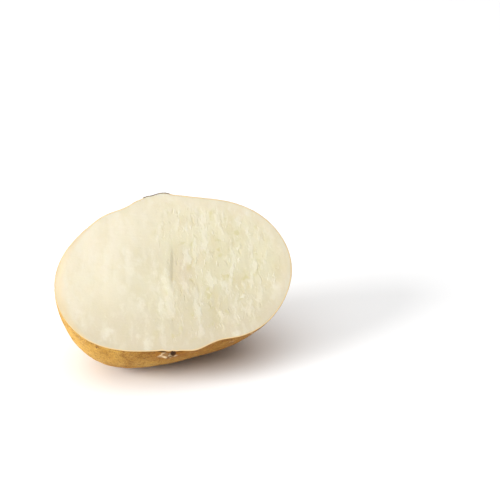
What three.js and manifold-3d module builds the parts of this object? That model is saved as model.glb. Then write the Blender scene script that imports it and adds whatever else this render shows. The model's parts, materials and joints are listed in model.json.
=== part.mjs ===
// Half of a jicama root, cut from crown to tail, lying on its skin with the cut face up.
// Millimetres, +Z up, +X along the root's width, origin on the resting surface under the middle of the half.
import * as THREE from 'three';
import { mergeVertices } from 'three/addons/utils/BufferGeometryUtils.js';
import Module from 'manifold-3d';

// The whole root in its own frame: X across it, Y from the cut face into the kept half, Z from tail to crown.
const HALF_WIDTH = 70;
const HALF_HEIGHT = 52.5;
const HALF_DEPTH = 69;

// The knife passes this far from the root's centre, so this is the smaller of the two halves.
const CUT_OFFSET = 9;

// How the half lies, in degrees: its cut face is raised to look up, turned to the right and rolled.
const FACE_RISE = 53.5;
const FACE_TURN = 13;
const FACE_ROLL = 6;

// The half's own weight presses this much of its underside flat.
const SPOT_DEPTH = 1.8;

// Swells and hollows, each a smooth bump on the root's surface. lat is degrees above the root's equator and
// lon is degrees round it from +X through +Y. spread is the bump's half width in degrees, and rise is its
// height in millimetres, below zero for a hollow.
const SWELLS = [
  { lat: 78, lon: 56, spread: 6, rise: 1.5 }, // corky stub of the stem
  { lat: 68, lon: 180, spread: 10, rise: -7 }, // shoulder that falls away beside it
  { lat: 40, lon: 180, spread: 22, rise: -2.5 },
  { lat: 56, lon: 20, spread: 20, rise: -3 }, // flatter right shoulder
  { lat: -56, lon: 180, spread: 25, rise: -4 }, // left of the tail
  { lat: -29, lon: 146, spread: 30, rise: 10 }, // heavy lobe low on the left
  { lat: -35, lon: 45, spread: 25, rise: 3 }, // lesser lobe low on the right
  { lat: -22, lon: 0, spread: 22, rise: 2 }, // right end, which hangs low
  { lat: -49, lon: 0, spread: 18, rise: 3.5 },
  { lat: -68, lon: 138, spread: 5, rise: 1 }, // torn end of the tap root
  { lat: -80, lon: 104, spread: 6, rise: 1.2 }, // heel of the tail
  { lat: -72, lon: 32, spread: 9, rise: -1.8 }, // hollow to the right of it
  { lat: 32, lon: 118, spread: 18, rise: 1.8 }, // lobes and a furrow over the back
  { lat: 14, lon: 84, spread: 11, rise: -1.6 },
  { lat: 30, lon: 58, spread: 16, rise: 1.6 },
];

// Steps along each edge of the icosahedron that the root's surface starts from.
const SURFACE_STEPS = 24;
// Larger than the root, for the blocks that cut it.
const BLOCK = 400;

const skin = new THREE.MeshStandardMaterial({ color: 0xc9944a, roughness: 0.7, metalness: 0 });

const wasm = await Module();
wasm.setup();

function direction(lat, lon) {
  const up = THREE.MathUtils.degToRad(lat);
  const round = THREE.MathUtils.degToRad(lon);
  return new THREE.Vector3(Math.cos(up) * Math.cos(round), Math.cos(up) * Math.sin(round), Math.sin(up));
}

// Distance from the root's centre to its skin in a unit direction.
function skinRadius(d) {
  let radius = 1 / Math.hypot(d.x / HALF_WIDTH, d.y / HALF_DEPTH, d.z / HALF_HEIGHT);
  for (const { lat, lon, spread, rise } of SWELLS) {
    const away = 1 - d.dot(direction(lat, lon));
    radius += rise * Math.exp(-away / (1 - Math.cos(THREE.MathUtils.degToRad(spread))));
  }
  return radius;
}

function toSolid(geometry) {
  geometry.deleteAttribute('normal');
  geometry.deleteAttribute('uv');
  const merged = mergeVertices(geometry);
  return new wasm.Manifold(
    new wasm.Mesh({
      numProp: 3,
      vertProperties: merged.attributes.position.array,
      triVerts: new Uint32Array(merged.index.array),
    }),
  );
}

function toGeometry(solid) {
  const { vertProperties, triVerts } = solid.getMesh();
  const geometry = new THREE.BufferGeometry();
  geometry.setAttribute('position', new THREE.BufferAttribute(vertProperties, 3));
  geometry.setIndex(new THREE.BufferAttribute(triVerts, 1));
  geometry.computeVertexNormals();
  return geometry;
}

function wholeRoot() {
  const geometry = new THREE.IcosahedronGeometry(1, SURFACE_STEPS);
  const place = geometry.attributes.position;
  const point = new THREE.Vector3();
  for (let i = 0; i < place.count; i += 1) {
    point.fromBufferAttribute(place, i).normalize();
    point.multiplyScalar(skinRadius(point));
    place.setXYZ(i, point.x, point.y, point.z);
  }
  return geometry;
}

// The other half, taken off by the knife.
function beyondTheCut() {
  return new THREE.BoxGeometry(BLOCK, BLOCK, BLOCK).translate(0, CUT_OFFSET - BLOCK / 2, 0);
}

function lowest(geometry, lie) {
  const laid = geometry.clone().applyMatrix4(lie);
  laid.computeBoundingBox();
  return laid.boundingBox.min.z;
}

// What lies below the flat spot, in the root's own frame.
function belowTheSpot(spotHeight, lie) {
  return new THREE.BoxGeometry(BLOCK, BLOCK, BLOCK)
    .translate(0, 0, spotHeight - BLOCK / 2)
    .applyMatrix4(lie.clone().invert());
}

function jicamaHalf() {
  const [rise, turn, roll] = [FACE_RISE, FACE_TURN, FACE_ROLL].map(THREE.MathUtils.degToRad);
  const attitude = new THREE.Euler(-rise, -roll, turn, 'ZXY');
  const lie = new THREE.Matrix4().makeRotationFromEuler(attitude);

  const root = wholeRoot();
  const spotHeight = lowest(root, lie) + SPOT_DEPTH;
  const half = toSolid(root).subtract(toSolid(beyondTheCut())).subtract(toSolid(belowTheSpot(spotHeight, lie)));

  const mesh = new THREE.Mesh(toGeometry(half), skin);
  mesh.name = 'jicama_half';
  mesh.rotation.copy(attitude);
  const box = new THREE.Box3().setFromObject(mesh, true);
  const middle = box.getCenter(new THREE.Vector3());
  mesh.position.set(-middle.x, -middle.y, -box.min.z);
  return mesh;
}

const part = new THREE.Group();
part.add(jicamaHalf());

export default part;
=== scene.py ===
"""Half a jicama root: its skin and its cut flesh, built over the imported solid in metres, +Z up.

The file is laid out as a Blender add-on and is run as a script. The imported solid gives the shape, the
cut plane and the flat spot. The skin and the flesh take that shape on finer meshes and add what is too
fine for it.
"""

import json
import math

import bpy
import numpy as np
from mathutils import Matrix, Vector
from mathutils.bvhtree import BVHTree


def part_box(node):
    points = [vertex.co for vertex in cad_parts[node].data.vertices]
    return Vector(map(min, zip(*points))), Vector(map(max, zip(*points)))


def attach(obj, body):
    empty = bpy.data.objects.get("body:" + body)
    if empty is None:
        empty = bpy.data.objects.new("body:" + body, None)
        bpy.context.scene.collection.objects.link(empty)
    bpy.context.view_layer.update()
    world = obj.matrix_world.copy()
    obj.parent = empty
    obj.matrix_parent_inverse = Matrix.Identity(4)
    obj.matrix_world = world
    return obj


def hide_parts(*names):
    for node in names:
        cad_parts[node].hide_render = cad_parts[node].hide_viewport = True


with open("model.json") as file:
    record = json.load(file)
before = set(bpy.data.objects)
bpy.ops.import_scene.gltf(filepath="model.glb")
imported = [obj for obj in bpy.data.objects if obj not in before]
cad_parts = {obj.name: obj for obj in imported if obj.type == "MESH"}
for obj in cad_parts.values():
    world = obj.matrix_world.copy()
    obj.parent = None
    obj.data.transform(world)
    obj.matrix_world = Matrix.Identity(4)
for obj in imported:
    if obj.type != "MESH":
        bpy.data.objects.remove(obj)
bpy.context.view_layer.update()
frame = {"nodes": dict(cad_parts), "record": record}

bl_info = {
    "name": "Halved Jicama Root",
    "version": (1, 0, 0),
    "blender": (4, 5, 0),
    "location": "3D View > Sidebar > Jicama",
    "description": "Builds the skin and cut flesh of a halved jicama root, with a plain studio",
    "category": "Object",
}

NODE = "jicama_half"
BODY = "root"
MM = 0.001

MOUNTS = {m["name"]: m for m in frame["record"]["mounts"]}
CUT_POINT = np.array(MOUNTS["cut_face"]["pos_m"])
CUT_NORMAL = np.array(MOUNTS["cut_face"]["axis"]) / np.linalg.norm(MOUNTS["cut_face"]["axis"])
BOX_LOW, BOX_HIGH = (np.array(corner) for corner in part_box(NODE))
BOX_CENTRE = (BOX_LOW + BOX_HIGH) / 2


# ---------------------------------------------------------------- settings


class JicamaShape(bpy.types.PropertyGroup):
    """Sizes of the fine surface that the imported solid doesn't carry."""

    roll: bpy.props.FloatProperty(
        name="Roll", description="Turn of the line from tail to crown within the cut face",
        default=math.radians(-7), subtype="ANGLE", unit="ROTATION")
    skin_thickness: bpy.props.FloatProperty(
        name="Skin thickness", description="Thickness of the skin that shows at the cut edge",
        default=0.7 * MM, subtype="DISTANCE", unit="LENGTH")
    steps_round: bpy.props.IntProperty(
        name="Steps round", description="Mesh steps round the cut edge", default=720, min=48)
    skin_rings: bpy.props.IntProperty(
        name="Skin rings", description="Mesh rings from the cut edge to the bottom of the skin",
        default=128, min=16)
    face_rings: bpy.props.IntProperty(
        name="Face rings", description="Mesh rings from the middle of the cut face to its edge",
        default=118, min=16)
    hidden_rings: bpy.props.IntProperty(
        name="Hidden rings", description="Mesh rings of surfaces that lie under the skin",
        default=8, min=4)


class JicamaColours(bpy.types.PropertyGroup):
    """Base colours, as linear values."""

    skin: bpy.props.FloatVectorProperty(
        name="Skin", description="Golden tan of clean skin", subtype="COLOR", size=3, min=0, max=1,
        default=(0.43, 0.195, 0.016))
    # Also used as painted light: the paler left end of the skin and small glints.
    skin_pale: bpy.props.FloatVectorProperty(
        name="Pale skin", description="Straw colour where the skin is thin or rubbed", subtype="COLOR",
        size=3, min=0, max=1, default=(0.60, 0.37, 0.080))
    # Also used as painted shade on the right and lower skin.
    skin_deep: bpy.props.FloatVectorProperty(
        name="Deep skin", description="Orange brown where the skin is thick", subtype="COLOR", size=3,
        min=0, max=1, default=(0.27, 0.100, 0.006))
    cork: bpy.props.FloatVectorProperty(
        name="Cork", description="Grey brown of the dried stem scar", subtype="COLOR", size=3,
        min=0, max=1, default=(0.25, 0.175, 0.105))
    # Also used as painted shade in the split at the tail.
    pore: bpy.props.FloatVectorProperty(
        name="Pores", description="Dark brown of pores, cracks and pits", subtype="COLOR", size=3,
        min=0, max=1, default=(0.050, 0.020, 0.007))
    flesh: bpy.props.FloatVectorProperty(
        name="Flesh", description="Cream of the cut flesh", subtype="COLOR", size=3,
        min=0, max=1, default=(0.63, 0.575, 0.43))
    fibre: bpy.props.FloatVectorProperty(
        name="Fibres", description="White of the fibres", subtype="COLOR", size=3,
        min=0, max=1, default=(0.715, 0.68, 0.575))
    cortex: bpy.props.FloatVectorProperty(
        name="Cortex", description="Peach band under the skin", subtype="COLOR", size=3,
        min=0, max=1, default=(0.70, 0.53, 0.29))


class JicamaStage(bpy.types.PropertyGroup):
    """Camera, lights and floor."""

    camera_rise: bpy.props.FloatProperty(
        name="Camera rise", description="Angle of the camera above the floor",
        default=math.radians(25), subtype="ANGLE", unit="ROTATION")
    camera_distance: bpy.props.FloatProperty(
        name="Camera distance", description="From the camera to the middle of the half",
        default=0.703, subtype="DISTANCE", unit="LENGTH")
    camera_right: bpy.props.FloatProperty(
        name="Camera right", description="How far the half sits left of the middle of the view",
        default=0.0438, subtype="DISTANCE", unit="LENGTH")
    camera_up: bpy.props.FloatProperty(
        name="Camera up", description="How far the half sits below the middle of the view",
        default=0.0203, subtype="DISTANCE", unit="LENGTH")
    lens: bpy.props.FloatProperty(
        name="Lens", description="Focal length in millimetres", default=85.0, min=10)
    key_power: bpy.props.FloatProperty(
        name="Key light", description="Power of the soft light low on the left",
        default=51.0, unit="POWER")
    sky: bpy.props.FloatProperty(
        name="Sky", description="Brightness of the white canopy overhead", default=1.52, min=0)
    walls: bpy.props.FloatProperty(
        name="Walls", description="Brightness of the surroundings between the canopy and the horizon",
        default=0.15, min=0)


# ---------------------------------------------------------------- fine surface


def lattice_noise(points, cell, seed):
    """Smooth noise from -1 to 1 at each point, from a random value at each corner of a cubic lattice."""
    place = points / cell + 1000.0
    corner = np.floor(place).astype(np.int64)
    t = place - corner
    t = t * t * t * (t * (t * 6 - 15) + 10)
    total = np.zeros(len(points))
    for dx in (0, 1):
        for dy in (0, 1):
            for dz in (0, 1):
                x, y, z = corner[:, 0] + dx, corner[:, 1] + dy, corner[:, 2] + dz
                # Large odd factors scatter neighbouring corners.
                mixed = (x * 73856093) ^ (y * 19349663) ^ (z * 83492791) ^ (seed * 2654435761)
                mixed = (mixed ^ (mixed >> 13)) * 1274126177 & 0xFFFFFFFF
                value = ((mixed ^ (mixed >> 16)) & 0xFFFF) / 32767.5 - 1
                weight = ((t[:, 0] if dx else 1 - t[:, 0]) * (t[:, 1] if dy else 1 - t[:, 1])
                          * (t[:, 2] if dz else 1 - t[:, 2]))
                total += weight * value
    return total


def fractal(points, cell, octaves, seed):
    """Sum of noises, each half the size and half the height of the one before."""
    return sum(lattice_noise(points, cell / 2**k, seed + k) / 2**k for k in range(octaves))


def ridges(points, cell, octaves, seed):
    """Sharp crests at 1 falling to 0, as on torn or corky tissue."""
    crest = sum((1 - np.abs(lattice_noise(points, cell / 2**k, seed + k))) ** 3 / 2**k
                for k in range(octaves))
    return crest / sum(1 / 2**k for k in range(octaves))


def swirl(points, cell, seed):
    """Random offsets from -1 to 1 along each axis."""
    return np.stack([lattice_noise(points, cell, seed + k) for k in range(3)], axis=1)


def ease(low, high, value):
    """0 below low, 1 above high and smooth between, in either order."""
    t = np.clip((value - low) / (high - low), 0, 1)
    return t * t * (3 - 2 * t)


def hump(distance, radius):
    """1 at no distance, falling smoothly to a third at the radius."""
    return np.exp(-(distance / radius) ** 2)


class CutHalf:
    """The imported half, measured outwards from the middle of its cut face.

    round is the angle round the cut edge, from the root's right end towards its crown. down is the angle
    from the cut plane towards the deepest skin. Points in the root's own axes are across, deep and
    crownward of that middle.
    """

    # How many times the distances are averaged with their neighbours in each direction.
    SMOOTH_ROUND = 16
    SMOOTH_DOWN = 10

    def __init__(self, shape):
        mesh = frame["nodes"][NODE].data
        self.tree = BVHTree.FromPolygons([vertex.co for vertex in mesh.vertices],
                                         [face.vertices for face in mesh.polygons])
        level = np.cross([0, 0, 1], CUT_NORMAL)
        level /= np.linalg.norm(level)
        across = math.cos(shape.roll) * level + math.sin(shape.roll) * np.cross(CUT_NORMAL, level)
        self.axes = np.array([across, -CUT_NORMAL, np.cross(CUT_NORMAL, across)])
        self.round = np.arange(shape.steps_round) * 2 * math.pi / shape.steps_round
        share = np.arange(shape.skin_rings) / shape.skin_rings
        self.down = math.pi / 2 * (0.55 * share + 0.45 * share**2)
        self.reach = self.smoothed(self.cast(self.directions(self.down)))

    def directions(self, down):
        """Unit directions in the root's own axes, one row for each ring."""
        level = np.cos(down)[:, None]
        return np.stack([level * np.cos(self.round), np.sin(down)[:, None] + 0 * self.round,
                         level * np.sin(self.round)], axis=-1)

    def cast(self, directions):
        """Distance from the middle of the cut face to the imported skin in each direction."""
        start = Vector(CUT_POINT + 0.02 * MM * self.axes[1])
        rays = directions.reshape(-1, 3) @ self.axes
        reach = [self.tree.ray_cast(start, Vector(ray))[3] for ray in rays]
        if None in reach:
            raise RuntimeError("a ray from the cut face misses the packed skin")
        return np.array(reach).reshape(directions.shape[:2])

    def smoothed(self, reach):
        """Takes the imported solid's flat facets out of the distances."""
        for _ in range(self.SMOOTH_ROUND):
            reach = (np.roll(reach, 1, axis=1) + 2 * reach + np.roll(reach, -1, axis=1)) / 4
        for _ in range(self.SMOOTH_DOWN):
            padded = np.vstack([2 * reach[:1] - reach[1:2], reach, reach[-1:]])
            reach = (padded[:-2] + 2 * reach + padded[2:]) / 4
        return reach

    def to_frame(self, points):
        return points @ self.axes + CUT_POINT

    def spot(self, round_degrees, down_degrees):
        """The point of the skin at these angles."""
        i = np.abs(self.down - math.radians(down_degrees)).argmin()
        j = round(round_degrees / 360 * len(self.round)) % len(self.round)
        return self.directions(self.down[i:i + 1])[0, j] * self.reach[i, j]


def ring_faces(first, second, count):
    """Quads between two rings of vertices, facing out where second lies further down the skin."""
    j = np.arange(count)
    after = (j + 1) % count
    return np.stack([first + j, second + j, second + after, first + after], axis=1).tolist()


def fan_faces(ring, tip, count):
    """Triangles between a ring of vertices and one vertex at its tip."""
    j = np.arange(count)
    return np.stack([ring + j, np.full(count, tip), ring + (j + 1) % count], axis=1).tolist()


def make_piece(name, points, faces, masks, material):
    """An object of these vertices and faces, with one attribute for each mask."""
    mesh = bpy.data.meshes.new(name)
    mesh.from_pydata(points.tolist(), [], faces)
    for mask, values in masks.items():
        mesh.attributes.new(mask, "FLOAT", "POINT").data.foreach_set("value", values.astype(np.float32))
    mesh.materials.append(material)
    mesh.polygons.foreach_set("use_smooth", np.ones(len(faces), bool))
    mesh.set_sharp_from_angle(angle=math.radians(50))
    mesh.update()
    piece = bpy.data.objects.new(name, mesh)
    bpy.context.scene.collection.objects.link(piece)
    return piece


# ---------------------------------------------------------------- skin


# Where the crown and the tail lie, in degrees round the cut edge and down from it.
CROWN = (100, 0)
TAIL = (265, 3.5)

# Scars of lost side roots: degrees round, degrees down, radius and depth in millimetres.
EYES = (
    (218, 33, 1.2, 0.7),
    (328, 27, 1.0, 0.5),
    (58, 38, 1.4, 0.9),
    (137, 20, 0.9, 0.5),
    (151, 55, 1.1, 0.6),
    (8, 61, 1.0, 0.5),
    (190, 0.5, 1.0, 0.4),
    (152, 0.5, 1.2, 0.3),
)


def skin_relief(half, points):
    """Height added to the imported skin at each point, in metres, and the masks of what grows there.

    Heights and distances are in millimetres until the last line.
    """
    masks = {}
    height = 0.35 * fractal(points, 21 * MM, 2, 11) + 0.11 * fractal(points, 5.5 * MM, 3, 21)

    # Faint growth furrows that run from the crown to the tail.
    height += 0.16 * fractal(points * (1, 1, 0.22), 9 * MM, 2, 31)
    height *= 0.3 + 0.7 * ease(0, 9, points[:, 1] / MM)

    # Corky stub of the stem: a low, torn boss with a sunken collar, lowest where the knife cut it.
    crown = half.spot(*CROWN)
    tissue = ridges(points * (1, 1, 0.6), 3.0 * MM, 3, 43)
    away = np.linalg.norm((points - crown) * (1, 1.15, 0.7), axis=1) / MM
    away += 1.7 * lattice_noise(points, 5 * MM, 41) + 0.9 * lattice_noise(points, 1.8 * MM, 45)
    stub = 1 - ease(7.4, 9.2, away)
    whole = 0.25 + 0.75 * ease(0.3, 3.2, points[:, 1] / MM)
    collar = hump(away - 10.8, 1.9)
    height += whole * (stub * (0.5 + 2.6 * tissue * (1 - 0.5 * hump(away, 3.0))) - 0.7 * collar)
    masks["cork"] = stub
    masks["hollow"] = stub * ease(0.42, 0.18, tissue)
    masks["collar"] = collar * (1 - stub)

    # Torn tail: a callus lip under a dark split.
    tail = half.spot(*TAIL)
    side, deep, _ = ((points - tail) / MM).T
    near = 1 - ease(9, 13, np.linalg.norm(points - tail, axis=1) / MM)
    rough = ridges(points, 1.7 * MM, 2, 53)
    lip = hump(np.hypot((side + 0.8) / 4.8, (deep - 0.7 - 0.03 * side**2) / 1.8), 1.0)
    lobe = hump(np.hypot((side + 1.6) / 2.4, (deep + 0.5) / 1.6), 1.0)
    split = hump(np.hypot((side - 2.3) / 1.7, (deep + 1.6 - 0.2 * side) / 1.9), 1.0)
    split = np.maximum(split, 0.8 * hump(np.hypot((side + 4.2) / 3.0, (deep + 2.5) / 0.8), 1.0))
    split = np.maximum(split, 0.7 * hump(np.hypot((side - 5.8) / 2.6, (deep + 2.2) / 0.8), 1.0))
    callus = np.clip(lip + lobe, 0, 1) * near
    height += near * (1.1 * lip + 0.8 * lobe + 0.45 * callus * rough - 1.7 * split)
    masks["callus"] = callus * (1 - ease(0.25, 0.6, split))
    masks["split"] = split * near
    masks["tail"] = hump(np.linalg.norm((points - tail) * (0.7, 1, 1), axis=1) / MM, 13)

    # Scars of side roots, each a short slit across the root with a low puckered lip.
    pit = np.zeros(len(points))
    lips = np.zeros(len(points))
    for number, (turn, down, radius, depth) in enumerate(EYES):
        offset = (points - half.spot(turn, down)) / MM + 0.9 * swirl(points, 2.5 * MM, 60 + number)
        away = np.linalg.norm(offset * (0.6, 0.6, 1.5), axis=1)
        here, round_it = hump(away, radius), hump(away - 2.1 * radius, 1.1 * radius)
        height += 0.20 * depth * round_it - depth * here
        pit = np.maximum(pit, here)
        lips = np.maximum(lips, round_it)
    masks["pit"] = pit
    masks["lips"] = lips
    return height * MM, masks


class GrownHalf(CutHalf):
    """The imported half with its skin's relief, and what the flesh needs to fit inside the skin.

    skin_reach is the distance to the skin's outside in each direction, thickness is the skin's at each
    step round the edge, and hidden_reach is skin_reach on the few rings of the hidden surfaces.
    """

    def __init__(self, shape):
        super().__init__(shape)
        directions = self.directions(self.down)
        base = (directions * self.reach[..., None]).reshape(-1, 3)
        relief, self.masks = skin_relief(self, base)
        self.skin_reach = self.reach + relief.reshape(self.reach.shape)
        self.outside = directions * self.skin_reach[..., None]

        # The knife leaves the skin's outer corner slightly low and ragged.
        edge = self.outside[0]
        torn = ease(0.35, 0.8, lattice_noise(edge, 6 * MM, 73))
        edge[:, 1] += (0.10 + 0.07 * lattice_noise(edge, 2.2 * MM, 71) + 0.10 * torn) * MM
        self.thickness = shape.skin_thickness * (1 + 0.16 * lattice_noise(edge, 9 * MM, 75))

        hidden = np.linspace(0, math.pi / 2, shape.hidden_rings, endpoint=False)[1:]
        self.hidden_directions = self.directions(hidden)
        self.hidden_reach = np.stack(
            [np.interp(hidden, self.down, column) for column in self.skin_reach.T], axis=1)


def build_skin(half, shape, material):
    """The skin as a closed sheet: its outside, the edge that the knife left, and its inside."""
    count, rings = len(half.round), len(half.down)
    outside, thickness, masks = half.outside, half.thickness, half.masks
    rim = half.directions(half.down)[0]
    corner = rim * (half.skin_reach[0] - 0.25 * thickness)[:, None]
    inner_edge = rim * (half.skin_reach[0] - thickness)[:, None]
    corner[:, 1] += 0.02 * MM

    inside = half.hidden_directions * (half.hidden_reach - thickness)[..., None]
    deepest = half.reach[-1].mean()
    tips = np.array([[0, deepest, 0], [0, deepest - shape.skin_thickness, 0]])

    points = np.vstack([outside.reshape(-1, 3), corner, inner_edge, inside.reshape(-1, 3), tips])
    tip = len(points) - 2
    corner_ring, inner_ring = rings * count, (rings + 1) * count
    faces = fan_faces((rings - 1) * count, tip, count)
    for ring in range(rings - 1):
        faces += ring_faces(ring * count, (ring + 1) * count, count)
    faces += ring_faces(corner_ring, 0, count) + ring_faces(inner_ring, corner_ring, count)
    last = inner_ring
    for _ in half.hidden_reach:
        faces += ring_faces(last + count, last, count)
        last += count
    faces += [face[::-1] for face in fan_faces(last, tip + 1, count)]

    extra = len(points) - rings * count
    masks = {name: np.concatenate([values, values[:count], values[:count], np.zeros(extra - 2 * count)])
             for name, values in masks.items()}
    masks["inset"] = np.concatenate(
        [np.zeros(rings * count), np.full(count, 0.35), np.ones(extra - count)])
    from_edge = (half.down[:, None] * half.skin_reach).reshape(-1) / MM
    masks["from_edge"] = np.concatenate([from_edge, np.zeros(extra)])

    placed = half.to_frame(points)
    placed[:, 2] = np.maximum(placed[:, 2], 0)
    return make_piece("jicama_skin", placed, faces, masks, material)


# ---------------------------------------------------------------- flesh


# The crease left where the knife crossed the core, in the root's own axes, in millimetres.
CREASE_ACROSS = -2.2
CREASE_LOW = -19
CREASE_HIGH = 22

# The clearance between flesh and skin, which keeps the two meshes apart.
FLESH_GAP = 0.02 * MM


def face_relief(points, from_edge):
    """Height of the cut face above the knife's plane at each point, in metres, and its masks.

    Heights and distances, from_edge among them, are in millimetres until the last line.
    """
    across, _, up = (points / MM).T
    masks = {}
    calm = ease(0.0, 3.5, from_edge)

    # The knife wandered a little, and tore the coarser flesh into short tufts between low hollows.
    height = 0.22 * fractal(points, 34 * MM, 2, 101)
    coarse = ease(-22, 6, across) * ease(2, 11, from_edge)
    bent = points + 1.6 * MM * swirl(points, 6 * MM, 103)
    torn = ease(-0.3, 0.6, lattice_noise(bent * (1, 1, 0.6), 9 * MM, 115))
    tufts = ridges(bent * (1, 1, 0.36), 4.6 * MM, 2, 111)
    height += (0.02 + 0.10 * coarse * torn) * (tufts - 0.4)
    height += (0.05 + 0.04 * coarse) * fractal(bent * (1, 1, 0.5), 6 * MM, 3, 117)

    # A small step at the core: the flesh dips just to its right and comes back up slowly.
    path = CREASE_ACROSS + 0.9 * lattice_noise(points * (0, 0, 1), 9 * MM, 121)
    along = ease(CREASE_LOW, CREASE_LOW + 13, up) * (1 - ease(CREASE_HIGH - 16, CREASE_HIGH, up))
    right = across - path
    crease = ease(-1.3, 1.5, right) * np.exp(-np.maximum(right - 1.0, 0) / 3.4) * along
    height += 0.10 * hump(right + 2.0, 2.2) * along - 0.30 * crease
    masks["crease"] = crease
    masks["core"] = hump(np.hypot((right - 6.5) / 6, (up + 2) / 13), 1.0)

    # Shallow drag marks of the blade, nearly level, strongest towards the left.
    tipped = points @ np.array([[1, 0, 0.1], [0, 1, 0], [-0.1, 0, 1]])
    drag = ridges(tipped * (0.06, 1, 1), 1.6 * MM, 2, 131)
    height += 0.022 * (drag - 0.4) * (1 - 0.8 * coarse)
    masks["coarse"] = coarse
    masks["from_edge"] = from_edge
    return height * calm * MM, masks


def build_flesh(half, shape, material):
    """The flesh as a closed solid inside the skin, with the cut face on top."""
    count = len(half.round)
    inset = half.thickness + FLESH_GAP
    rim_reach = half.skin_reach[0] - inset
    share = (np.arange(1, shape.face_rings + 1) / shape.face_rings) ** 0.9
    rim = half.directions(np.zeros(1))[0]
    face = (share[:, None, None] * (rim * rim_reach[:, None])[None]).reshape(-1, 3)
    face = np.vstack([face, np.zeros((1, 3))])
    from_edge = np.append((1 - share[:, None]) * rim_reach[None], rim_reach.mean()) / MM
    relief, masks = face_relief(face, from_edge.reshape(-1))
    face[:, 1] -= relief

    under = (half.hidden_directions * (half.hidden_reach - inset)[..., None]).reshape(-1, 3)
    deepest = np.array([[0, half.reach[-1].mean() - shape.skin_thickness - FLESH_GAP, 0]])
    points = np.vstack([face, under, deepest])

    middle = shape.face_rings * count
    faces = fan_faces(0, middle, count)
    for ring in range(shape.face_rings - 1):
        faces += ring_faces(ring * count, (ring + 1) * count, count)
    last = (shape.face_rings - 1) * count
    for ring in range(len(half.hidden_reach)):
        following = middle + 1 + ring * count
        faces += ring_faces(last, following, count)
        last = following
    faces += fan_faces(last, len(points) - 1, count)
    faces[:count] = [face[::-1] for face in faces[:count]]

    extra = len(points) - len(face)
    masks = {name: np.concatenate([values, np.zeros(extra)]) for name, values in masks.items()}
    placed = half.to_frame(points)
    placed[:, 2] = np.maximum(placed[:, 2], shape.skin_thickness + FLESH_GAP)
    return make_piece("jicama_flesh", placed, faces, masks, material)


# ---------------------------------------------------------------- shaders


class Wire:
    """A node's output. Arithmetic on it adds Math nodes."""

    def __init__(self, sheet, socket):
        self.sheet = sheet
        self.socket = socket

    def math(self, operation, *others):
        return self.sheet.add("ShaderNodeMath", {"operation": operation}, (self, *others))

    def __add__(self, other):
        return self.math("ADD", other)

    __radd__ = __add__

    def __sub__(self, other):
        return self.math("SUBTRACT", other)

    def __rsub__(self, other):
        return self.sheet.add("ShaderNodeMath", {"operation": "SUBTRACT"}, (other, self))

    def __mul__(self, other):
        return self.math("MULTIPLY", other)

    __rmul__ = __mul__

    def __truediv__(self, other):
        return self.math("DIVIDE", other)

    def __rtruediv__(self, other):
        return self.sheet.add("ShaderNodeMath", {"operation": "DIVIDE"}, (other, self))

    def larger(self, other):
        return self.math("MAXIMUM", other)


class Sheet:
    """A node tree being drawn."""

    def __init__(self, tree):
        self.tree = tree
        tree.nodes.clear()

    def add(self, kind, settings=None, sockets=(), output=0):
        """Adds a node: its type, its settings, then the values or wires of its sockets."""
        node = self.tree.nodes.new(kind)
        for name, value in (settings or {}).items():
            setattr(node, name, value)
        for key, value in sockets.items() if isinstance(sockets, dict) else enumerate(sockets):
            if isinstance(value, Wire):
                self.tree.links.new(value.socket, node.inputs[key])
            else:
                node.inputs[key].default_value = value
        return Wire(self, node.outputs[output]) if node.outputs else None

    def mask(self, name):
        return self.add("ShaderNodeAttribute", {"attribute_name": name}, output="Fac")

    def scaled(self, place, factors):
        return self.add("ShaderNodeVectorMath", {"operation": "MULTIPLY"}, (place, factors))

    def bent(self, place, size, by):
        """The place pushed by up to by along each axis, in blotches about size across."""
        return self.add("ShaderNodeVectorMath", {"operation": "MULTIPLY_ADD"}, (
            self.noise(place, size, 2, output="Color"), (by, by, by), place))

    def noise(self, place, size, detail=2.0, roughness=0.5, distortion=0.0, output="Fac"):
        """Noise whose blotches are about size millimetres across."""
        return self.add("ShaderNodeTexNoise", {}, {
            "Vector": place, "Scale": 1 / size, "Detail": detail, "Roughness": roughness,
            "Distortion": distortion}, output)

    def cells(self, place, size, feature="F1"):
        """Distance from the middles or the edges of cells about size millimetres across."""
        return self.add("ShaderNodeTexVoronoi", {"feature": feature}, {
            "Vector": place, "Scale": 1 / size}, "Distance")

    def step(self, value, low, high):
        """0 where value is low, 1 where it is high and smooth between, in either order."""
        if low > high:
            return 1 - self.step(value, high, low)
        return self.add("ShaderNodeMapRange", {"interpolation_type": "SMOOTHSTEP"}, {
            "Value": value, "From Min": low, "From Max": high})

    def mix(self, factor, first, second, blend="MIX"):
        """Colours mixed by factor."""
        return self.add("ShaderNodeMix", {"data_type": "RGBA", "blend_type": blend}, {
            0: factor, 6: self.opaque(first), 7: self.opaque(second)}, 2)

    @staticmethod
    def opaque(colour):
        return colour if isinstance(colour, Wire) else (*colour, 1.0)

    def bump(self, height, distance):
        return self.add("ShaderNodeBump", {}, {"Height": height, "Distance": distance})


def new_material(name):
    material = bpy.data.materials.new(name)
    material.use_nodes = True
    return material, Sheet(material.node_tree)


def root_place(sheet, half):
    """Object coordinates in the root's own axes, in millimetres from the middle of the cut face."""
    turned = Matrix(half.axes.tolist())
    return sheet.add("ShaderNodeMapping", {"vector_type": "POINT"}, {
        "Vector": sheet.add("ShaderNodeTexCoord", output="Object"),
        "Location": tuple(-(half.axes @ CUT_POINT) / MM),
        "Rotation": tuple(turned.to_euler()),
        "Scale": (1 / MM, 1 / MM, 1 / MM)})


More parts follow.
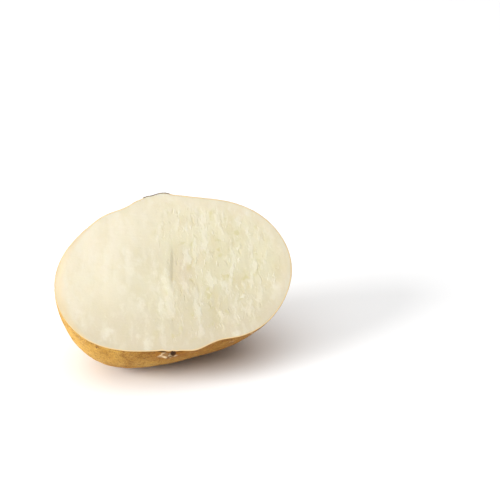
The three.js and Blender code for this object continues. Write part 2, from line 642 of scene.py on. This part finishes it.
# Colours of small marks on the skin, as linear values.
SMUDGE = (0.17, 0.062, 0.008)
TAIL_BROWN = (0.28, 0.092, 0.003)
WRINKLE = (0.20, 0.070, 0.006)
CRACK = (0.20, 0.072, 0.008)
RUST = (0.46, 0.17, 0.025)
SPECK = (0.10, 0.042, 0.014)
BRUISE = (0.24, 0.15, 0.105)
SCUFF = (0.66, 0.49, 0.29)
HOLLOW = (0.07, 0.035, 0.018)
COLLAR = (0.15, 0.065, 0.018)
EYE_LIP = (0.27, 0.14, 0.05)
CALLUS_DARK = (0.26, 0.135, 0.045)
CALLUS_PALE = (0.60, 0.45, 0.26)


def skin_material(half, colours):
    """Golden tan skin. The noises' sizes are in millimetres, and heights are shares of the bump's."""
    material, sheet = new_material("jicama_skin")
    place = root_place(sheet, half)
    warp = sheet.bent(place, 3.5, 2.6)
    band = sheet.scaled(place, (1, 1, 1.9))

    # Clean skin: golden tan, straw coloured in broad areas and orange brown in smaller ones.
    side = sheet.add("ShaderNodeSeparateXYZ", {}, (place,), "X")
    up = sheet.add("ShaderNodeSeparateXYZ", {}, (place,), "Z")
    pale = tuple(colours.skin_pale)
    deep = tuple(colours.skin_deep)
    tone = sheet.mix(sheet.step(sheet.noise(place, 42, 2), 0.45, 0.68), tuple(colours.skin), pale)
    tone = sheet.mix(sheet.step(sheet.noise(place, 19, 3, 0.55), 0.48, 0.72) * 0.7, tone, deep)
    # Painted light: the left end of the skin is made paler.
    tone = sheet.mix(sheet.step(side, -30, -62) * 0.5, tone, pale)
    # Painted shade: the right and lower skin is made deeper orange brown.
    tone = sheet.mix(sheet.step(side, -25, 20) * (0.3 + 0.4 * sheet.step(up, 10, -35)), tone, deep)
    brown_edge = sheet.step(sheet.mask("from_edge"), 16, 3)
    brown_edge = brown_edge * sheet.step(sheet.noise(place, 14, 2), 0.38, 0.55)
    tone = sheet.mix(brown_edge * 0.45, tone, deep)
    tone = sheet.mix(sheet.step(sheet.noise(band, 4.2, 4, 0.62), 0.42, 0.70) * 0.40, tone, pale)
    tone = sheet.mix(sheet.step(sheet.noise(band, 1.9, 3, 0.6), 0.50, 0.70) * 0.45, tone, deep)
    grain = sheet.noise(place, 0.9, 3, 0.65)
    tone = sheet.mix(sheet.step(grain, 0.50, 0.63) * 0.72, tone, deep)
    tone = sheet.mix(sheet.step(grain, 0.45, 0.35) * 0.48, tone, pale)
    smudge = sheet.step(sheet.noise(sheet.scaled(warp, (1, 1, 1.5)), 2.3, 4, 0.7), 0.54, 0.64)
    tone = sheet.mix(smudge * 0.62, tone, SMUDGE)
    # Painted highlights: small pale glints.
    glint = sheet.step(sheet.noise(sheet.scaled(warp, (1, 1, 1.5)), 2.0, 4, 0.7), 0.46, 0.36)
    tone = sheet.mix(glint * 0.45, tone, pale)
    tone = sheet.mix(sheet.mask("tail") * 0.68, tone, TAIL_BROWN)
    # More painted light on the left end.
    tone = sheet.mix(sheet.step(side, -24, -50) * 0.4, tone, pale)

    # Fine wandering wrinkles and a crackle of orange brown lines, each in patches.
    wrinkle = sheet.noise(sheet.scaled(warp, (1, 1, 1.6)), 3.6, 3, 0.55) - 0.5
    where = (sheet.step(sheet.noise(place, 10, 2), 0.50, 0.64) * 0.7).larger(brown_edge)
    wrinkle = sheet.step(wrinkle.math("ABSOLUTE"), 0.034, 0.004) * where
    tone = sheet.mix(wrinkle * 0.72, tone, WRINKLE)
    crack = sheet.step(sheet.cells(warp, 3.4, "DISTANCE_TO_EDGE"), 0.085, 0.0)
    crack = crack * sheet.step(sheet.noise(place, 13, 2), 0.53, 0.66)
    tone = sheet.mix(crack * 0.38, tone, CRACK)

    # Stains like rust, longer round the root than along it.
    stain = sheet.step(sheet.noise(sheet.scaled(place, (1, 1, 0.5)), 7.5, 3, 0.6, 0.6), 0.63, 0.78)
    tone = sheet.mix(stain * 0.5, tone, RUST)

    # Pores: many specks and a few larger flecks.
    speck_size = sheet.noise(place, 11, 2)
    specks = sheet.step(sheet.cells(band, 2.5) - speck_size * 0.27, 0.05, -0.03)
    fleck_middle = sheet.cells(sheet.scaled(warp, (1, 1, 1.7)), 9.5) - sheet.noise(place, 1.3, 2) * 0.13
    flecks = sheet.step(fleck_middle, 0.03, -0.02)
    dots = (specks * 0.78).larger(flecks * 0.88)
    tone = sheet.mix(dots, tone, SPECK)

    # Grey bruises and pale rubbed scuffs.
    bruise = sheet.step(sheet.noise(place, 16, 4, 0.6, 0.4), 0.66, 0.74)
    tone = sheet.mix(bruise * 0.7, tone, BRUISE)
    scuff = sheet.step(sheet.noise(sheet.scaled(warp, (0.45, 0.45, 1.6)), 6.5, 5, 0.68), 0.645, 0.72)
    tone = sheet.mix(scuff * 0.75, tone, SCUFF)

    # Cork of the stem scar, the dark collar below it, the torn tail and the eyes.
    cork_grain = sheet.step(sheet.noise(sheet.scaled(place, (1, 1, 0.5)), 1.5, 4, 0.7), 0.34, 0.66)
    cork = sheet.mix(cork_grain * 0.75 + 0.25, tuple(colours.pore), tuple(colours.cork))
    cork = sheet.mix(sheet.mask("hollow"), cork, HOLLOW)
    tone = sheet.mix(sheet.step(sheet.mask("cork"), 0.15, 0.75), tone, cork)
    tone = sheet.mix(sheet.mask("collar") * 0.8, tone, COLLAR)
    tone = sheet.mix(sheet.mask("lips") * 0.4, tone, EYE_LIP)
    streaks = sheet.step(sheet.noise(sheet.scaled(warp, (0.5, 1, 1.3)), 1.5, 3), 0.44, 0.58)
    callus = sheet.mix(streaks, CALLUS_DARK, CALLUS_PALE)
    tone = sheet.mix(sheet.step(sheet.mask("callus"), 0.12, 0.45), tone, callus)
    # The eye pits and the split are painted near black; in the split this is painted shade in its depth.
    hole = sheet.step(sheet.mask("pit"), 0.35, 0.85).larger(sheet.step(sheet.mask("split"), 0.2, 0.6))
    tone = sheet.mix(hole * 0.92, tone, tuple(colours.pore))

    # The cut edge: brown outside, peach towards the flesh.
    edge = sheet.step(sheet.mask("inset"), 0.05, 0.35) * (1 - 0.85 * sheet.mask("cork"))
    tone = sheet.mix(edge, tone, tuple(colours.cortex))

    rough = 0.52 + 0.2 * sheet.noise(place, 6, 3) + 0.16 * sheet.mask("cork") + 0.1 * scuff
    height = 0.10 * grain + 0.22 * sheet.noise(place, 2.6, 3) + 0.10 * scuff
    height = height - 0.16 * crack - 0.30 * dots - 0.18 * wrinkle
    height = (height + 0.7 * cork_grain * sheet.mask("cork")) * (1 - 0.8 * edge)
    sheet.add("ShaderNodeOutputMaterial", {}, {"Surface": sheet.add("ShaderNodeBsdfPrincipled", {}, {
        "Base Color": tone, "Roughness": rough, "Specular IOR Level": 0.2,
        "Subsurface Weight": 0.06, "Subsurface Radius": (1.0, 0.5, 0.2), "Subsurface Scale": 1.2 * MM,
        "Normal": sheet.bump(height, 0.9 * MM)})})
    return material


# Tints of the flesh, as factors of its base colour.
BLOTCH = (1.03, 1.055, 1.07)
ROSY = (1.045, 1.005, 0.995)
STRAW = (0.98, 1.0, 0.92)
PALE_CROWN = (1.06, 1.06, 1.09)
DULL_TAIL = (0.87, 0.84, 0.82)
SMOOTH_END_LIGHT = (1.06, 1.06, 1.08)
HEART_SHADE = (0.945, 0.945, 0.935)
CLOUD = (0.90, 0.87, 0.74)
OLIVE = (0.80, 0.79, 0.50)
CORE = (0.90, 0.82, 0.84)
MILKY = (1.09, 1.12, 1.22)
# Painted shade in the gaps between the fibres.
GAP = (0.83, 0.80, 0.66)
FLECK = (1.12, 1.13, 0.99)
CREASE_SHADE = (0.78, 0.74, 0.63)


def flesh_material(half, colours):
    """Cream flesh. The noises' sizes are in millimetres, and heights are shares of the bump's."""
    material, sheet = new_material("jicama_flesh")
    place = root_place(sheet, half)
    bent = sheet.bent(place, 4.5, 3.2)
    coarse, from_edge = sheet.mask("coarse"), sheet.mask("from_edge")
    side = sheet.add("ShaderNodeSeparateXYZ", {}, (place,), "X")
    up = sheet.add("ShaderNodeSeparateXYZ", {}, (place,), "Z")

    def tint(factors):
        return tuple(np.array(colours.flesh) * factors)

    # Smooth cream, rosier towards the skin and duller towards the tail.
    blotch = sheet.step(sheet.noise(place, 30, 2), 0.4, 0.7)
    tone = sheet.mix(blotch * 0.6, tint(1), tint(BLOTCH))
    tone = sheet.mix(sheet.step(from_edge, 14, 3) * 0.5, tone, tint(ROSY))
    tone = sheet.mix(coarse * 0.6, tone, tint(STRAW))
    tone = sheet.mix(sheet.step(up - side * 0.6, 0, 60) * 0.6, tone, tint(PALE_CROWN))
    tone = sheet.mix(sheet.step(up - side * 0.15, 0, -52) * 0.9, tone, tint(DULL_TAIL))
    # The smooth left end is lighter, partly its own paler tone and partly painted light from the left.
    smooth_end_light = sheet.step(side, -18, -46) * sheet.step(up, -40, -10)
    tone = sheet.mix(smooth_end_light, tone, SMOOTH_END_LIGHT, "MULTIPLY")
    # Painted shade: the middle of the face is darkened slightly.
    heart_shade = sheet.step(side, -42, -16) * sheet.step(side, 60, 30)
    heart_shade = heart_shade * sheet.step(up, -44, -20) * sheet.step(up, 26, 4)
    tone = sheet.mix(heart_shade, tone, HEART_SHADE, "MULTIPLY")

    # Straw, olive and rosy clouds where the flesh is coarse, and milky ones where it is smooth.
    cloud = sheet.step(sheet.noise(sheet.scaled(bent, (1, 1, 0.55)), 7.5, 4, 0.55), 0.46, 0.68)
    tone = sheet.mix(cloud * (0.24 + 0.36 * coarse), tone, tint(CLOUD))
    olive = sheet.step(sheet.noise(sheet.scaled(bent, (1, 1, 0.8)), 6.0, 2), 0.59, 0.72)
    tone = sheet.mix(olive * coarse * 0.5, tone, tint(OLIVE))
    tone = sheet.mix(sheet.mask("core") * 0.5, tone, tint(CORE))
    milky = sheet.step(sheet.noise(sheet.scaled(bent, (1, 1, 0.7)), 10, 4, 0.6), 0.53, 0.68)
    tone = sheet.mix(milky * (0.6 - 0.35 * coarse), tone, tint(MILKY))

    # Fibres from crown to tail: wide soft whitish tufts, finer streaks and small straw flecks.
    tufts = sheet.step(sheet.noise(sheet.scaled(bent, (1, 1, 0.34)), 4.2, 3, 0.5), 0.50, 0.66)
    streaks = sheet.step(sheet.noise(sheet.scaled(bent, (1, 1, 0.28)), 1.7, 2, 0.5), 0.56, 0.68)
    groups = sheet.step(sheet.noise(place, 11, 2), 0.42, 0.64)
    white = (tufts * 0.7).larger(streaks * groups)
    tone = sheet.mix(white * (0.28 + 0.34 * coarse), tone, tuple(colours.fibre))
    # The gaps between the tufts, low in the bump, are painted darker and yellower as painted shade.
    shaded_gaps = sheet.step(sheet.noise(sheet.scaled(bent, (1, 1, 0.4)), 2.6, 2), 0.40, 0.27)
    tone = sheet.mix(shaded_gaps * (0.06 + 0.26 * coarse), tone, tint(GAP))
    flecks = sheet.step(sheet.cells(sheet.scaled(bent, (1, 1, 0.6)), 3.4), 0.14, 0.06)
    flecks = flecks * sheet.step(sheet.noise(place, 6, 2), 0.50, 0.62)
    tone = sheet.mix(flecks * (0.15 + 0.5 * coarse), tone, tint(FLECK))
    # Painted shade in the crease, just right of the step.
    tone = sheet.mix(sheet.mask("crease") * 0.45, tone, tint(CREASE_SHADE))

    # A peach band under the skin, wide and soft at the left end and a thin line elsewhere.
    width = 0.4 + 6.0 * sheet.step(side, -44, -68)
    glow = sheet.step(from_edge / width, 1.0, 0.0)
    tone = sheet.mix(glow * 0.5, tone, tuple(colours.cortex))

    rough = 0.52 + 0.25 * sheet.noise(place, 4, 3) - 0.12 * white
    height = 0.17 * white * (0.15 + coarse) + 0.10 * sheet.noise(place, 1.4, 3, 0.6)
    height = height - 0.18 * shaded_gaps * coarse
    sheet.add("ShaderNodeOutputMaterial", {}, {"Surface": sheet.add("ShaderNodeBsdfPrincipled", {}, {
        "Base Color": tone, "Roughness": rough, "Specular IOR Level": 0.08,
        "Subsurface Weight": 0.35, "Subsurface Radius": (1.0, 0.72, 0.36), "Subsurface Scale": 3.0 * MM,
        "Normal": sheet.bump(height, 0.6 * MM)})})
    return material


# ---------------------------------------------------------------- operators


def finished_piece(piece):
    """Attaches the piece to the root's body and hides the imported part that it is built over."""
    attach(piece, BODY)
    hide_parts(NODE)


class JICAMA_OT_skin(bpy.types.Operator):
    """Build the skin: its outside with its scars, and the edge that the knife left"""

    bl_idname = "jicama.skin"
    bl_label = "Skin"

    def execute(self, context):
        shape, colours = context.scene.jicama_shape, context.scene.jicama_colours
        half = GrownHalf(shape)
        finished_piece(build_skin(half, shape, skin_material(half, colours)))
        return {"FINISHED"}


class JICAMA_OT_flesh(bpy.types.Operator):
    """Build the flesh inside the skin, with the cut face on top"""

    bl_idname = "jicama.flesh"
    bl_label = "Flesh"

    def execute(self, context):
        shape, colours = context.scene.jicama_shape, context.scene.jicama_colours
        half = GrownHalf(shape)
        finished_piece(build_flesh(half, shape, flesh_material(half, colours)))
        return {"FINISHED"}


class JICAMA_OT_stage(bpy.types.Operator):
    """Add the camera, the pale floor and soft studio light"""

    bl_idname = "jicama.stage"
    bl_label = "Stage"

    # Widths and places in metres.
    FLOOR_WIDTH = 3.0
    KEY_WIDTH = 1.2
    KEY_PLACE = (-1.70, -0.80, 0.74)

    # The canopy and the bright horizon each come up to full between two heights, given as sines.
    CANOPY = (0.55, 0.80)
    HORIZON = (0.27, 0.17)
    HORIZON_STRENGTH = 0.95

    def execute(self, context):
        stage = context.scene.jicama_stage
        self.add_camera(context.scene, stage)
        self.add_floor()
        self.add_key_light(stage)
        self.add_surroundings(context.scene, stage)
        context.scene.view_settings.view_transform = "Standard"
        return {"FINISHED"}

    @staticmethod
    def add_camera(scene, stage):
        data = bpy.data.cameras.new("camera")
        data.lens = stage.lens
        data.sensor_width = 36
        camera = bpy.data.objects.new("camera", data)
        scene.collection.objects.link(camera)
        camera.rotation_euler = (math.pi / 2 - stage.camera_rise, 0, 0)
        offset = Vector((stage.camera_right, stage.camera_up, stage.camera_distance))
        offset.rotate(camera.rotation_euler)
        camera.location = Vector(BOX_CENTRE) + offset
        scene.camera = camera

    def add_floor(self):
        mesh = bpy.data.meshes.new("floor")
        reach = self.FLOOR_WIDTH / 2
        corners = [(-reach, -reach, 0), (reach, -reach, 0), (reach, reach, 0), (-reach, reach, 0)]
        mesh.from_pydata(corners, [], [(0, 1, 2, 3)])
        material, sheet = new_material("floor")
        sheet.add("ShaderNodeOutputMaterial", {}, {"Surface": sheet.add("ShaderNodeBsdfPrincipled", {}, {
            "Base Color": (0.93, 0.93, 0.93, 1), "Roughness": 0.9, "Specular IOR Level": 0.1})})
        mesh.materials.append(material)
        floor = bpy.data.objects.new("floor", mesh)
        bpy.context.scene.collection.objects.link(floor)

    def add_key_light(self, stage):
        data = bpy.data.lights.new("key_light", "AREA")
        data.shape = "DISK"
        data.size = self.KEY_WIDTH
        data.energy = stage.key_power
        light = bpy.data.objects.new("key_light", data)
        bpy.context.scene.collection.objects.link(light)
        light.location = self.KEY_PLACE
        towards_half = Vector(BOX_CENTRE) - Vector(self.KEY_PLACE)
        light.rotation_euler = towards_half.to_track_quat("-Z", "Y").to_euler()

    def add_surroundings(self, scene, stage):
        """White surroundings: a canopy overhead, a bright horizon and dim walls between them."""
        world = bpy.data.worlds.new("surroundings")
        world.use_nodes = True
        sheet = Sheet(world.node_tree)
        way = sheet.add("ShaderNodeTexCoord", output="Generated")
        height = sheet.add("ShaderNodeSeparateXYZ", {}, (way,), "Z")
        strength = stage.walls + (stage.sky - stage.walls) * sheet.step(height, *self.CANOPY)
        strength = strength + (self.HORIZON_STRENGTH - stage.walls) * sheet.step(height, *self.HORIZON)
        sheet.add("ShaderNodeOutputWorld", {}, {"Surface": sheet.add("ShaderNodeBackground", {}, {
            "Color": (1, 1, 1, 1), "Strength": strength})})
        scene.world = world


class JICAMA_PT_panel(bpy.types.Panel):
    """The parts of the scene and the sizes and colours that they use"""

    bl_idname = "JICAMA_PT_panel"
    bl_label = "Halved Jicama Root"
    bl_space_type = "VIEW_3D"
    bl_region_type = "UI"
    bl_category = "Jicama"

    def draw(self, context):
        for operator in OPERATORS:
            self.layout.operator(operator.bl_idname)
        for settings, holder in SETTINGS.items():
            column = self.layout.column(align=True)
            for name in holder.__annotations__:
                column.prop(getattr(context.scene, settings), name)


OPERATORS = (JICAMA_OT_skin, JICAMA_OT_flesh, JICAMA_OT_stage)
SETTINGS = {"jicama_shape": JicamaShape, "jicama_colours": JicamaColours, "jicama_stage": JicamaStage}


def register():
    for item in (*SETTINGS.values(), *OPERATORS, JICAMA_PT_panel):
        bpy.utils.register_class(item)
    for name, settings in SETTINGS.items():
        setattr(bpy.types.Scene, name, bpy.props.PointerProperty(type=settings))


def unregister():
    for name in SETTINGS:
        delattr(bpy.types.Scene, name)
    for item in reversed((*SETTINGS.values(), *OPERATORS, JICAMA_PT_panel)):
        bpy.utils.unregister_class(item)


def main():
    register()
    bpy.ops.jicama.stage()
    bpy.ops.jicama.skin()
    bpy.ops.jicama.flesh()


if __name__ == "__main__":
    main()
